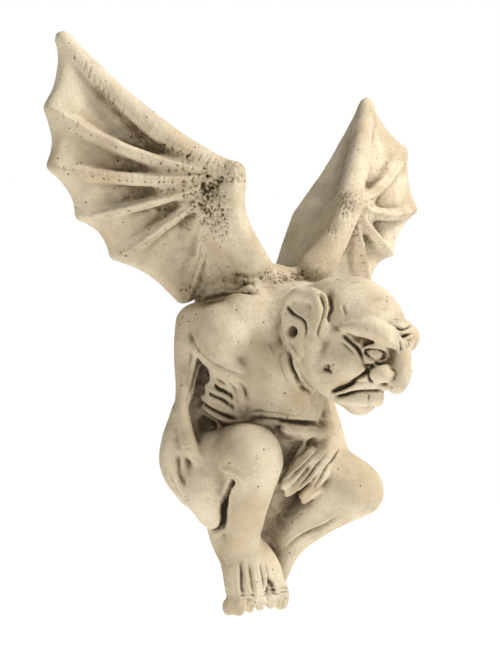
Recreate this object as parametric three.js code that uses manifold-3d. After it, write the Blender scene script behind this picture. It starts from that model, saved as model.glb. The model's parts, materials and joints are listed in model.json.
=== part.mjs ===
// Cast-stone gargoyle wall plaque: a winged grotesque that squats with its knees drawn up and its head
// thrust out. One casting, so one solid. Millimetres, +Z up; the flat back lies in the plane y = 0 and the
// figure stands out from it towards -Y. Points are written [side, out, up]: x, distance from the wall, z.
import * as THREE from "three";
import { mergeVertices } from "three/addons/utils/BufferGeometryUtils.js";
import Module from "manifold-3d";

// ---- driving dimensions ----
const WALL_BLOCK = 900; // side of the block that trims everything behind the wall plane
const HEAD_CENTRE = [18.5, 132, -2]; // middle of the skull
const HEAD_TURN = 15; // degrees the face is turned to the figure's own left
const HEAD_BOW = 20; // degrees the face looks down
const WRIST_SIDE = 69; // wing wrist, from the middle of the figure
const WRIST_OUT = 86; // wing wrist, out from the wall
const WEB_SAG = 10; // how far a web sinks below the line between its two fingers
const WEB_CELLS = 3; // faces across one web
const FINGER_CELLS = 5; // faces along one finger
const WRIST_RING = 0.03; // the webs start this share of a finger out from the wrist
const THIN_EDGE = 6; // least thickness of the stone at a web's edge
const FINGER_RADII = [12, 7.5, 7.5, 7, 6.5]; // finger ridges at mid length, from the top one down
const FINGER_TIP_RADII = [8, 5, 5, 5, 5]; // and at the tips
const FINGER_DROP = [14, 13, 8, 4, 2, 0]; // how far each finger bows down at mid length, from the top one
const EDGE_DROP = 5; // how far the wall edge bows down between wrist and tip
const FINGER_SINK = 0.4; // how far a finger's line lies inside the stone, as a share of its radius
const WEB_NOTCH = [0.045, 0.06, 0.09, 0.1, 0.08, 0]; // scallops of the trailing edge, as shares of a finger

// Each wing: the wrist, the finger tips from the top one down, the flank where the last web meets the body,
// and the arm bone from the wrist to the shoulder. wallEdge is where the wing's inner face meets the wall:
// beside the wrist, at the tip and at the root.
const RIGHT_WING = {
  wrist: [-WRIST_SIDE, WRIST_OUT, 134],
  tips: [
    [-191, 9, 250],
    [-205, 9, 187],
    [-202, 9, 137],
    [-173, 9, 96],
    [-136, 9, 64],
    [-60, 12, 27],
  ],
  elbow: [-67, 84, 98],
  shoulder: [-32, 70, 57],
  wallEdge: { wrist: [-74, 0, 128], tip: [-180, 0, 240], root: [-46, 0, 60] },
};
const LEFT_WING = {
  wrist: [WRIST_SIDE, WRIST_OUT, 122],
  tips: [
    [169, 10, 242],
    [221, 11, 199],
    [235, 11, 139],
    [199, 11, 90],
    [162, 14, 56],
    [62, 24, 16],
  ],
  elbow: [53, 84, 90],
  shoulder: [34, 76, 58],
  wallEdge: { wrist: [74, 0, 124], tip: [160, 0, 236], root: [56, 0, 68] },
};

// ---- solids ----
const wasm = await Module();
wasm.setup();
const { Manifold, Mesh } = wasm;

// A closed three.js geometry as a manifold-3d solid.
function solid(geometry) {
  geometry.deleteAttribute("normal");
  geometry.deleteAttribute("uv");
  const merged = mergeVertices(geometry, 1e-3);
  const triVerts = new Uint32Array(merged.index.array);
  const vertProperties = merged.attributes.position.array;
  return new Manifold(new Mesh({ numProp: 3, vertProperties, triVerts }));
}

const point = ([side, out, up]) => new THREE.Vector3(side, -out, up);

// An ellipsoid: centre [side, out, up], radii [across, out, up], turned by degrees about x, y and z.
function blobShape(centre, radii, turn = [0, 0, 0], sides = 12, rings = 8) {
  const shape = new THREE.SphereGeometry(1, sides, rings);
  shape.rotateX(Math.PI / 2);
  shape.scale(...radii);
  const [x, y, z] = turn.map(THREE.MathUtils.degToRad);
  shape.applyMatrix4(new THREE.Matrix4().makeRotationFromEuler(new THREE.Euler(x, y, z, "ZYX")));
  const place = point(centre);
  return shape.translate(place.x, place.y, place.z);
}

// A round limb along a smooth curve through [side, out, up, radius] stations, with round ends.
function limbShape(stations, sides = 8, rings = 2 * (stations.length - 1)) {
  const curve = new THREE.CatmullRomCurve3(stations.map(point));
  const girth = new THREE.CatmullRomCurve3(stations.map((station) => new THREE.Vector3(station[3], 0, 0)));
  const frames = curve.computeFrenetFrames(rings);
  const shape = new THREE.CapsuleGeometry(1, 2, 2, sides, rings);
  const position = shape.attributes.position;
  const vertex = new THREE.Vector3();
  for (let i = 0; i < position.count; i += 1) {
    vertex.fromBufferAttribute(position, i);
    const along = THREE.MathUtils.clamp(vertex.y, -1, 1);
    const beyond = vertex.y - along;
    const u = (along + 1) / 2;
    const row = Math.round(u * rings);
    const radius = girth.getPoint(curve.getUtoTmapping(u)).x;
    const place = curve.getPointAt(u);
    place.addScaledVector(frames.tangents[row], beyond * radius);
    place.addScaledVector(frames.binormals[row], vertex.x * radius);
    place.addScaledVector(frames.normals[row], vertex.z * radius);
    position.setXYZ(i, place.x, place.y, place.z);
  }
  return shape;
}

const blob = (...sizes) => solid(blobShape(...sizes));
const limb = (...sizes) => solid(limbShape(...sizes));
const joined = (solids) => solids.reduce((sum, next) => sum.add(next));

// ---- wings ----
const mix = (from, to, share) => from.map((value, i) => value + (to[i] - value) * share);

// A bow that is 0 at both ends of a line and 1 at its middle.
const arch = (share) => 4 * share * (1 - share);

// A place on a finger's line, at a share of its length and between two fingers where fan isn't whole. The
// arm bone is the last of the lines.
function fingerPlace({ wrist, tips, elbow, shoulder }, fan, reach) {
  const bowed = (finger) => {
    if (finger === tips.length) {
      const middle = mix(wrist, shoulder, 0.5);
      const straight = mix(wrist, shoulder, reach);
      return straight.map((value, i) => value + (elbow[i] - middle[i]) * arch(reach));
    }
    const place = mix(wrist, tips[finger], reach);
    place[2] -= FINGER_DROP[finger] * arch(reach);
    return place;
  };
  const finger = Math.min(Math.floor(fan + 1e-6), tips.length - 1);
  return mix(bowed(finger), bowed(finger + 1), fan - finger);
}

// The webs of one wing as one solid: a grid that fans out from the wrist over all the fingers to the arm
// bone, its front sagging between them and its back on the wall, with the scalloped edge along its rim.
function wingWebs(sizes) {
  const { wrist, tips, wallEdge } = sizes;
  const webs = tips.length;
  const shape = new THREE.BoxGeometry(1, 1, 1, FINGER_CELLS, webs * WEB_CELLS, 1);
  shape.translate(0.5, 0.5, 0.5);
  const position = shape.attributes.position;
  const mirrorImage = wrist[0] > 0;
  for (let i = 0; i < position.count; i += 1) {
    const fan = position.getY(i) * webs;
    const web = Math.min(Math.floor(fan + 1e-6), webs - 1);
    const bow = Math.sin(Math.PI * (fan - web));
    const reach = WRIST_RING + (1 - WRIST_RING) * position.getX(i) * (1 - WEB_NOTCH[web] * bow);
    const front = fingerPlace(sizes, fan, reach);
    const sag = WEB_SAG * bow * Math.sin(Math.PI * Math.min(reach * 1.1, 1));
    front[1] = Math.max(front[1] - sag, THIN_EDGE);
    let rim = fingerPlace(sizes, fan, 1 - WEB_NOTCH[web] * bow);
    if (fan < 1e-6) {
      rim = wallEdge.tip;
    }
    if (fan > webs - 1e-6) {
      rim = wallEdge.root;
    }
    const outward = position.getX(i);
    const [side, , up] = mix(wallEdge.wrist, rim, outward);
    const back = [side, 0, up - EDGE_DROP * arch(outward)];
    const depth = mirrorImage ? 1 - position.getZ(i) : position.getZ(i);
    const place = point(mix(back, front, depth));
    position.setXYZ(i, place.x, place.y, place.z);
  }
  return shape;
}

// The rounded finger ridges of one wing, the thick leading one first.
function wingFingers(sizes) {
  return FINGER_RADII.map((radius, finger) => {
    const stations = [0.04, 0.35, 0.68, 0.97].map((reach) => {
      const [side, out, up] = fingerPlace(sizes, finger, reach);
      const taper = Math.max(0, reach * 2 - 1);
      return [side, out - FINGER_SINK * radius, up, radius + (FINGER_TIP_RADII[finger] - radius) * taper];
    });
    return limb(stations, finger === 0 ? 6 : 4, 4);
  });
}

// The wing's arm bone, from its wrist down to the shoulder.
function wingArm({ wrist, elbow, shoulder }) {
  return limb([[...wrist, 12.5], [...elbow, 12], [...shoulder, 17]], 7, 3);
}

const wing = (sizes) => joined([solid(wingWebs(sizes)), ...wingFingers(sizes), wingArm(sizes)]);

// ---- body ----
function torso() {
  const { shoulder } = RIGHT_WING;
  return joined([
    limb([[2, 44, -96, 44], [-3, 58, -42, 50], [-2, 62, -6, 54], [8, 92, 6, 42], [14, 118, 0, 36]], 10, 6),
    limb([[0, 20, 22, 50], [0, 14, -20, 56], [0, 10, -70, 51], [2, 12, -104, 47]], 8, 3),
    blob([0, 40, 34], [56, 44, 34], [0, 0, 0], 10, 7),
    limb([[shoulder[0], shoulder[1], 46, 15], [8, 62, 47, 15], [-shoulder[0], shoulder[1], 46, 15]], 7, 2),
    blob([-53, 56, 0], [30, 32, 29], [0, 20, 0], 9, 6),
    blob([52, 52, -6], [26, 32, 29], [0, -20, 0], 8, 5),
    limb([[-74, 54, -10, 12], [-62, 68, -27, 12], [-49, 76, -42, 7]], 6, 2),
    limb([[2, 30, -96, 46], [12, 26, -150, 34], [18, 14, -198, 18]], 8, 3),
  ]);
}

// Folds of skin over the ribs under the right arm.
function ribFolds() {
  return [
    [[-71, 58, -34], [-63, 67, -41], [-50, 76, -46]],
    [[-74, 54, -43], [-65, 65, -51], [-47, 75, -59]],
    [[-74, 50, -53], [-67, 61, -60], [-42, 73, -73]],
    [[-73, 48, -64], [-65, 58, -70], [-53, 66, -79]],
  ].map((line) => limb(line.map((place, i) => [...place, i === 1 ? 5.5 : 3.5]), 4, 2));
}

function rightArm() {
  return joined([
    limb([[-63, 34, 7, 23], [-74, 36, -10, 15.5], [-80, 38, -28, 11.5], [-85, 42, -46, 8.5], [-91, 46, -62, 7]], 8, 6),
    limb([
      [-91, 45, -62, 7.5], [-95, 43, -76, 8.5], [-100, 42, -96, 9.5], [-100, 44, -116, 9], [-89, 50, -140, 5],
    ], 6, 5),
    limb([[-90, 46, -74, 8], [-95, 48, -98, 8], [-96, 49, -118, 6.5], [-91, 53, -133, 4]], 5, 3),
    limb([[-93, 48, -64, 6.5], [-94, 54, -81, 7], [-93, 60, -96, 7], [-88, 64, -107, 4.5]], 6, 4),
    limb([[-54, 26, 0, 22], [-56, 26, -56, 22], [-58, 30, -108, 24]], 6, 2),
  ]);
}

function leftArm() {
  const fingers = [
    [[5, 96, -100, 8], [-13, 101, -115, 7], [-27, 102, -127, 5]],
    [[21, 94, -107, 7], [0, 99, -123, 5.5], [-20, 99, -134, 4.5]],
    [[36, 90, -110, 7], [19, 95, -125, 5.5], [2, 94, -137, 4.5]],
    [[48, 86, -110, 7], [34, 88, -127, 5.5], [8, 89, -142, 4]],
  ];
  return joined([
    limb([[56, 40, 0, 22], [64, 46, -29, 15], [60, 54, -53, 12.5], [58, 64, -78, 14], [48, 78, -96, 16.5]], 7, 5),
    limb([[48, 79, -96, 16], [24, 87, -104, 15], [7, 93, -108, 11]], 6, 2),
    limb([[34, 84, -84, 9], [6, 92, -84, 8.5], [-22, 97, -80, 4.5]], 5, 3),
    ...fingers.map((finger) => limb(finger, 5, 2)),
  ]);
}

// Toes in a row from the outer one to the big one, each a short limb that hangs from the front of the foot.
function toes(outer, big, radii) {
  return radii.map((radius, toe) => {
    const share = toe / (radii.length - 1);
    const [side, out, up] = mix(outer, big, share);
    const root = outer[0] + (big[0] - outer[0]) * (0.15 + 0.7 * share);
    return limb([
      [root, out - 5, up + 26, radius * 0.8], [side, out, up + 9, radius], [side, out, up, radius * 0.9],
    ], 5, 2);
  });
}

function rightLeg() {
  return joined([
    limb([[-28, 30, -110, 34], [-42, 62, -105, 30], [-57, 94, -102, 27.5]], 10, 3),
    limb([
      [-54, 94, -108, 27], [-54, 92, -127, 21], [-52, 86, -142, 18], [-47, 76, -159, 15.5], [-42, 66, -173, 16],
    ], 8, 5),
    limb([[-64, 56, -106, 26], [-75, 57, -130, 20], [-65, 56, -149, 16]], 8, 3),
    limb([[-50, 48, -150, 15], [-49, 49, -171, 12.5], [-44, 50, -186, 11]], 6, 2),
    limb([[-45, 56, -179, 13], [-43, 58, -197, 12], [-46, 62, -219, 9]], 6, 2),
    limb([[-38, 62, -175, 16], [-31, 64, -197, 15], [-31, 67, -220, 11]], 6, 2),
    limb([[-28, 60, -180, 13], [-11, 62, -201, 13], [-4, 66, -220, 10]], 6, 2),
    blob([-53, 61, -231], [5, 6, 8], [0, 0, 0], 5, 3),
    ...toes([-46, 67, -234], [1, 67, -231], [6, 5, 5, 5.5, 8]),
  ]);
}

function leftLeg() {
  return joined([
    limb([[28, 34, -104, 32], [43, 64, -114, 28], [59, 94, -130, 25]], 8, 2),
    limb([[62, 98, -135, 25], [41, 78, -158, 16], [26, 58, -178, 13], [18, 45, -201, 11]], 8, 5),
    limb([[52, 90, -130, 20], [35, 76, -147, 18], [18, 54, -172, 16]], 7, 2),
    limb([[20, 45, -199, 12], [15, 42, -212, 12], [13, 40, -222, 11]], 6, 2),
    ...toes([22, 42, -228], [-4, 46, -229], [5, 4.5, 4.5, 5, 6.5]),
  ]);
}

// ---- head, shaped in its own frame [side, forward, up], then bowed, turned and set on the neck ----
const bothSides = (make) => [make(1), make(-1)];

function head() {
  const skull = [
    blob([0, 1, 12], [44, 52, 44], [0, 0, 0], 12, 9),
    blob([0, 14, -14], [41, 37, 33], [0, 0, 0], 10, 7),
    limb([
      [-31, -10, -20, 15], [-26, 8, -33, 16], [0, 24, -41, 15.5], [26, 8, -33, 16], [31, -10, -20, 15],
    ], 6, 5),
  ];
  const sockets = bothSides((s) => blob([s * 18, 52, 1], [13, 10, 8], [0, 0, s * 20], 7, 4));
  const brows = bothSides((s) => limb([[s * 37, 22, 14, 6], [s * 27, 37, 17, 9], [s * 10, 50, 13, 9]], 6, 3));
  const frown = blob([11, 52, 20], [10, 9, 8], [0, 0, 0], 7, 5);
  const eyes = bothSides((s) => blob([s * 17, 40, 1], [9, 9, 8], [0, 0, 0], 6, 4));
  const nose = limb([[0, 46, 12, 8], [0, 54, 2, 8.5], [0, 59, -12, 10.5], [0, 61, -22, 8.5]], 7, 4);
  const nostrils = bothSides((s) => blob([s * 11, 50, -15], [8, 11, 9], [0, 0, 0], 7, 5));
  const upperLip = limb([[-27, 27, -39, 5], [0, 45, -28, 7], [27, 27, -39, 5]], 6, 4);
  const lowerLip = limb([[-23, 28, -45, 5], [0, 43, -39, 8], [23, 28, -45, 5]], 6, 4);
  const chin = blob([0, 28, -47], [14, 13, 11], [0, 0, 0], 7, 5);
  const ears = bothSides((s) => blob([s * 45, -19, 6], [8, 20, 29], [14, 0, 0], 8, 5));
  const earHoles = bothSides((s) => blob([s * 53, -20, -3], [7, 8, 11], [14, 0, 0], 6, 4));
  const helixes = bothSides((s) => limb([
    [s * 49, -4, 22, 5], [s * 50, -20, 30, 5], [s * 50, -34, 16, 5],
    [s * 49, -33, -2, 4.5], [s * 48, -22, -18, 5.5],
  ], 4, 5));
  const carved = joined(skull).subtract(joined(sockets));
  const eared = joined([carved, ...ears]).subtract(joined(earHoles));
  const face = [...brows, frown, ...eyes, nose, ...nostrils, upperLip, lowerLip, chin, ...helixes];
  const centre = point(HEAD_CENTRE);
  return joined([eared, ...face])
    .rotate([HEAD_BOW, 0, 0])
    .rotate([0, 0, HEAD_TURN])
    .translate([centre.x, centre.y, centre.z]);
}

// ---- the casting ----
function casting() {
  const figure = joined([
    torso(), ...ribFolds(), rightArm(), leftArm(), rightLeg(), leftLeg(), head(),
    wing(RIGHT_WING), wing(LEFT_WING),
  ]);
  const behindWall = new THREE.BoxGeometry(WALL_BLOCK, WALL_BLOCK, WALL_BLOCK).translate(0, WALL_BLOCK / 2, 0);
  return figure.subtract(solid(behindWall));
}

function meshOf(made, name, material) {
  const { vertProperties, triVerts } = made.getMesh();
  const geometry = new THREE.BufferGeometry();
  geometry.setAttribute("position", new THREE.BufferAttribute(vertProperties, 3));
  geometry.setIndex(new THREE.BufferAttribute(triVerts, 1));
  geometry.computeVertexNormals();
  const mesh = new THREE.Mesh(geometry, material);
  mesh.name = name;
  return mesh;
}

const stone = new THREE.MeshStandardMaterial({ color: 0xcfc4a8, roughness: 0.9, metalness: 0 });
const part = new THREE.Group();
part.add(meshOf(casting(), "gargoyle", stone));

export default part;
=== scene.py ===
import json
import math
import random
from functools import partial

import bmesh
import bpy
import numpy as np
from mathutils import Euler, Matrix, Vector
from mathutils.bvhtree import BVHTree
from mathutils.kdtree import KDTree

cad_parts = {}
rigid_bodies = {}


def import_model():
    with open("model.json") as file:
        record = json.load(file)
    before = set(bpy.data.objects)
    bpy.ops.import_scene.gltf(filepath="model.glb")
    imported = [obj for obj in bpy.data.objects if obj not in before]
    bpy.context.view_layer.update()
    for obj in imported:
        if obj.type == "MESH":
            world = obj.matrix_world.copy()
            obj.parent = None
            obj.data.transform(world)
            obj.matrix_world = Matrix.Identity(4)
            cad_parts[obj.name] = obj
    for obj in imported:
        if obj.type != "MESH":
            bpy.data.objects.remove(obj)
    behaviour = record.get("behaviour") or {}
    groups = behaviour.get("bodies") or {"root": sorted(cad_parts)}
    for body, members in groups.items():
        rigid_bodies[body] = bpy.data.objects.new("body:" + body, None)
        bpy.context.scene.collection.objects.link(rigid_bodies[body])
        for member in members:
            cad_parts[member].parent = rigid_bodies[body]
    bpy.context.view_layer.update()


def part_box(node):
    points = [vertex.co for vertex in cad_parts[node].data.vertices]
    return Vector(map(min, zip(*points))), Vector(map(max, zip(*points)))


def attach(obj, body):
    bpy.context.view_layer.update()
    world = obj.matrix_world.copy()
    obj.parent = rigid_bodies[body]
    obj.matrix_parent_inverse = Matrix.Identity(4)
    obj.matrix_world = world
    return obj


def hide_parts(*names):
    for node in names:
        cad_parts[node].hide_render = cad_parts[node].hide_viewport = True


# Cast-stone gargoyle wall plaque. The rough forms are limbs and rounded masses set on the casting's own
# landmarks, melted together, then carved with strokes, pitted, and washed dark in the hollows, with shade
# painted there too.
# Landmarks are millimetres, [side, out, up]: across the plaque, out from the wall, and up.

bl_info = {
    "name": "Gargoyle Wall Plaque",
    "version": (1, 0, 0),
    "blender": (4, 5, 0),
    "location": "View3D > Sidebar > Gargoyle",
    "description": "Models and dresses a cast-stone winged gargoyle plaque round its packed solid",
    "category": "Add Mesh",
}

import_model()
NODE = "gargoyle"
MODELLED_HEIGHT = 492.3  # of the plaque, in the millimetres that the landmarks are written in
LOW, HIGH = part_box(NODE)
METRES = (HIGH.z - LOW.z) / MODELLED_HEIGHT  # in one of those millimetres
SEED = 11
RIGHT_TOES = ((-46, 67, -234), (1, 67, -231), (6, 5, 5, 5.5, 8))  # outer toe, big toe, radii
LEFT_TOES = ((22, 42, -228), (-4, 46, -229), (5, 4.5, 4.5, 5, 6.5))
CLAY_PASSES = 10  # times that each skin is softened once it has melted
FEATURE_PASSES = 6
SKIN_PASSES = 2
CROWDED_PITS = 2600
RINGS = 130
AIR_HOLES = 900
TICK_SPACING = (8, 12, 7, 11, 12, 11)  # millimetres between the ticks across each wing finger
HOLLOW_PASSES = {"hollow_fine": 4, "hollow_mid": 22, "hollow_wide": 110}
FINE_HOLLOW = 0.12  # millimetres: a hollow as deep as this on the face keeps all its vertices
FACE_REACH = 66
LENS = 80.96
CAMERA_TARGET = Vector((-0.028, -0.060, 0.002))
CAMERA_AZIMUTH = -40
CAMERA_ELEVATION = -3
CAMERA_DISTANCE = 1.3
LAMP_TARGET = Vector((0, -0.08, 0))
LAMPS = {"key": ((0.75, -1.15, 1.35), 0.5, 46), "fill": ((-1.4, -1.2, 0.2), 1.2, 4)}  # place, size, power
WHITE = (1, 1, 1, 1)


# ---- the casting's landmarks ----
RIGHT_WING = {
    "wrist": (-69, 86, 134),
    "tips": [(-191, 9, 250), (-205, 9, 187), (-202, 9, 137), (-173, 9, 96), (-136, 9, 64), (-60, 12, 27)],
    "elbow": (-67, 84, 98),
    "shoulder": (-32, 70, 57),
    "wall_wrist": (-74, 0, 128),
    "wall_tip": (-180, 0, 240),
    "wall_root": (-46, 0, 60),
}
LEFT_WING = {
    "wrist": (69, 86, 122),
    "tips": [(169, 10, 242), (221, 11, 199), (235, 11, 139), (199, 11, 90), (162, 14, 56), (62, 24, 16)],
    "elbow": (53, 84, 90),
    "shoulder": (34, 76, 58),
    "wall_wrist": (74, 0, 124),
    "wall_tip": (160, 0, 236),
    "wall_root": (56, 0, 68),
}
FINGER_RADII = [12, 7.5, 7.5, 7, 6.5]  # wing finger ridges at mid length, from the top one down
FINGER_TIP_RADII = [8, 5, 5, 5, 5]
FINGER_DROP = [14, 13, 8, 4, 2, 0]  # how far each finger bows down at mid length
FINGER_SINK = 0.4  # share of its radius that a finger's line lies inside the stone
WEB_NOTCH = [0.045, 0.06, 0.09, 0.1, 0.08, 0]  # scallops of the trailing edge, as shares of a finger
WEB_SAG = 10
WEB_RING = 0.03  # the webs start this share of a finger out from the wrist
THIN_EDGE = 6
EDGE_DROP = 5
HEAD_CENTRE = (18.5, 132, -2)
HEAD_TURN = 15  # degrees towards the figure's own left
HEAD_BOW = 20  # degrees down


# ---- rough forms ----
def point(place):
    side, out, up = place[:3]
    return Vector((side, -out, up))


def mix(start, end, share):
    return [a + (b - a) * share for a, b in zip(start, end)]


def arch(share):
    return 4 * share * (1 - share)


def curve_through(stations, share):
    """A place on the smooth curve that runs through all the stations, at a share of its length."""
    values = np.array(stations, float)
    steps = np.linalg.norm(np.diff(values[:, :3], axis=0), axis=1)
    reached = np.concatenate([[0], np.cumsum(steps)]) / steps.sum()
    span = min(int(np.searchsorted(reached, share, side="right")) - 1, len(values) - 2)
    t = (share - reached[span]) / (reached[span + 1] - reached[span])
    before = values[span - 1] if span > 0 else 2 * values[0] - values[1]
    after = values[span + 2] if span + 2 < len(values) else 2 * values[-1] - values[-2]
    start, end = values[span], values[span + 1]
    return 0.5 * (
        2 * start
        + (end - before) * t
        + (2 * before - 5 * start + 4 * end - after) * t * t
        + (3 * start - before - 3 * end + after) * t**3
    )


def blob(bm, centre, radii, turn=(0, 0, 0), sides=28, rings=18):
    """A rounded mass: radii across, out and up, turned by degrees about x, y and z."""
    made = bmesh.ops.create_uvsphere(bm, u_segments=sides, v_segments=rings, radius=1)
    angles = Euler([math.radians(a) for a in turn], "XYZ").to_matrix().to_4x4()
    shape = Matrix.Translation(point(centre)) @ angles @ Matrix.Diagonal((*radii, 1))
    bmesh.ops.transform(bm, matrix=shape, verts=made["verts"])


def limb(bm, stations, sides=20, cap=4):
    """A round limb through [side, out, up, radius] stations, with round ends."""
    rings = cap * 2 + max(8, 5 * (len(stations) - 1))
    made = bmesh.ops.create_uvsphere(bm, u_segments=sides, v_segments=rings, radius=1)
    body = rings - 2 * cap
    line = [curve_through(stations, k / body) for k in range(body + 1)]
    spots = [point(place) for place in line]
    across = None
    frames = []
    for k in range(body + 1):
        ahead = (spots[min(k + 1, body)] - spots[max(k - 1, 0)]).normalized()
        if across is None:
            across = ahead.orthogonal().normalized()
        across = (across - ahead * across.dot(ahead)).normalized()
        frames.append((ahead, across, ahead.cross(across)))
    for vert in made["verts"]:
        ring = round(math.acos(max(-1, min(1, -vert.co.z))) / math.pi * rings)
        angle = math.atan2(vert.co.y, vert.co.x)
        row = max(0, min(body, ring - cap))
        beyond = (ring - cap - row) / cap
        swell = math.cos(beyond * math.pi / 2)
        ahead, right, over = frames[row]
        radius = line[row][3]
        spoke = right * math.cos(angle) + over * math.sin(angle)
        vert.co = spots[row] + (ahead * math.sin(beyond * math.pi / 2) + spoke * swell) * radius


def finger_place(wing, fan, reach):
    """A place on a wing finger's line at a share of its length, or between two where fan isn't whole."""

    def bowed(finger):
        if finger == len(wing["tips"]):
            middle = mix(wing["wrist"], wing["shoulder"], 0.5)
            straight = mix(wing["wrist"], wing["shoulder"], reach)
            return [s + (e - m) * arch(reach) for s, e, m in zip(straight, wing["elbow"], middle)]
        place = mix(wing["wrist"], wing["tips"][finger], reach)
        place[2] -= FINGER_DROP[finger] * arch(reach)
        return place

    finger = min(int(fan + 1e-6), len(wing["tips"]) - 1)
    return mix(bowed(finger), bowed(finger + 1), fan - finger)


def web_place(wing, fan, outward):
    """A place on the front of a wing's webs."""
    web = min(int(fan + 1e-6), len(wing["tips"]) - 1)
    bow = math.sin(math.pi * (fan - web))
    reach = WEB_RING + (1 - WEB_RING) * outward * (1 - WEB_NOTCH[web] * bow)
    side, out, up = finger_place(wing, fan, reach)
    sag = WEB_SAG * bow * math.sin(math.pi * min(reach * 1.1, 1))
    return [side, max(out - sag, THIN_EDGE), up]


def back_place(wing, fan, outward):
    """The same place on the wall behind the wing."""
    webs = len(wing["tips"])
    web = min(int(fan + 1e-6), webs - 1)
    rim = finger_place(wing, fan, 1 - WEB_NOTCH[web] * math.sin(math.pi * (fan - web)))
    if fan < 1e-6:
        rim = wing["wall_tip"]
    if fan > webs - 1e-6:
        rim = wing["wall_root"]
    side, _, up = mix(wing["wall_wrist"], rim, outward)
    return [side, 0, up - EDGE_DROP * arch(outward)]


def wing_webs(bm, wing, along=16, across=6):
    """All the webs of a wing: a grid fanned out from the wrist, thickened down to the wall."""
    webs = len(wing["tips"])
    made = bmesh.ops.create_grid(bm, x_segments=along, y_segments=webs * across, size=1)
    front = made["verts"]
    spots = {v: ((v.co.y + 1) / 2 * webs, (v.co.x + 1) / 2) for v in front}
    faces = list({f for v in front for f in v.link_faces})
    grown = bmesh.ops.extrude_face_region(bm, geom=faces)
    new_verts = [g for g in grown["geom"] if isinstance(g, bmesh.types.BMVert)]
    where = {(round(v.co.x, 5), round(v.co.y, 5)): spots[v] for v in front}
    for vert in new_verts:
        vert.co = point(back_place(wing, *where[round(vert.co.x, 5), round(vert.co.y, 5)]))
    for vert in front:
        vert.co = point(web_place(wing, *spots[vert]))
    bmesh.ops.recalc_face_normals(bm, faces=list({f for v in list(front) + new_verts for f in v.link_faces}))


def clay(name, build):
    """A loose lump of clay: the object that a builder function fills."""
    bm = bmesh.new()
    build(bm)
    mesh = bpy.data.meshes.new(name)
    bm.to_mesh(mesh)
    bm.free()
    lump = bpy.data.objects.new(name, mesh)
    bpy.context.scene.collection.objects.link(lump)
    return lump


def wing_masses(bm):
    for wing in (RIGHT_WING, LEFT_WING):
        wing_webs(bm, wing)
        limb(bm, [(*wing["wrist"], 12.5), (*wing["elbow"], 12), (*wing["shoulder"], 17)])
        wing_inner_wall(bm, wing)
        wing_fingers(bm, wing)


def wing_inner_wall(bm, wing, layers=12, thickness=12):
    """The solid wall from a wing's arm bone back to the house wall."""
    middle = mix(wing["wall_wrist"], wing["wall_root"], 0.5)
    inward = beside_arm(wing)
    for layer in range(layers):
        depth = layer / (layers - 1)
        shift = inward * thickness * min(1, depth * 2) * 0.9
        stations = []
        for front, back, drop in (
            ("wrist", "wall_wrist", 12), ("elbow", None, 0), ("shoulder", "wall_root", 0),
        ):
            side, out, up = mix(wing[front], wing[back] if back else middle, depth)
            stations.append((side + shift, out, up - drop * depth, thickness))
        limb(bm, stations, 14)


def wing_fingers(bm, wing):
    """The ridges along a wing's fingers, low near the wrist and rounder towards the rim."""
    for finger, radius in enumerate(FINGER_RADII):
        stations = []
        for reach in (0.02, 0.2, 0.4, 0.6, 0.8, 0.97):
            side, out, up = finger_place(wing, finger, reach)
            taper = max(0, reach * 2 - 1)
            swell = radius + (FINGER_TIP_RADII[finger] - radius) * taper
            stations.append((side, out - FINGER_SINK * radius, up, swell))
        limb(bm, stations, 16)


def trunk_masses(bm):
    limb(bm, [(2, 44, -96, 44), (-3, 58, -42, 50), (-2, 62, -6, 54), (8, 92, 6, 42), (14, 118, 0, 36)], 32)
    limb(bm, [(0, 20, 22, 50), (0, 14, -20, 56), (0, 10, -70, 51), (2, 12, -104, 47)], 24)
    blob(bm, (0, 40, 34), (56, 44, 34))
    limb(bm, [(-32, 70, 46, 15), (8, 62, 47, 15), (32, 70, 46, 15)])
    blob(bm, (-53, 56, 0), (30, 32, 29), (0, 20, 0))
    blob(bm, (52, 52, -6), (26, 32, 29), (0, -20, 0))
    limb(bm, [(-74, 54, -10, 12), (-62, 68, -27, 12), (-49, 76, -42, 7)])
    limb(bm, [(2, 30, -96, 46), (12, 26, -150, 34), (18, 14, -198, 18)])
    blob(bm, (-30, 70, 12), (36, 26, 32))
    limb(bm, [(-14, 84, -22, 30), (0, 108, -22, 26), (8, 120, -14, 22)])


def rib_folds(bm):
    for line in (
        [(-71, 58, -34), (-63, 67, -41), (-50, 76, -46)],
        [(-74, 54, -43), (-65, 65, -51), (-47, 75, -59)],
        [(-74, 50, -53), (-67, 61, -60), (-42, 73, -73)],
        [(-73, 48, -64), (-65, 58, -70), (-53, 66, -79)],
    ):
        limb(bm, [(*place, radius) for place, radius in zip(line, (3.5, 5.5, 3.5))], 12)


def arm_masses(bm):
    limb(bm, [
        (-63, 34, 7, 23), (-74, 36, -10, 15.5), (-80, 38, -28, 11.5), (-85, 42, -46, 8.5),
        (-91, 46, -62, 7),
    ])
    limb(bm, [(-54, 26, 0, 22), (-56, 26, -56, 22), (-58, 30, -108, 24)])
    limb(bm, [
        (56, 40, 0, 22), (64, 46, -29, 15), (60, 54, -53, 12.5), (58, 64, -78, 14), (48, 78, -96, 16.5),
    ])
    limb(bm, [(48, 79, -96, 16), (24, 87, -104, 15), (7, 93, -108, 11)])


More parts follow.
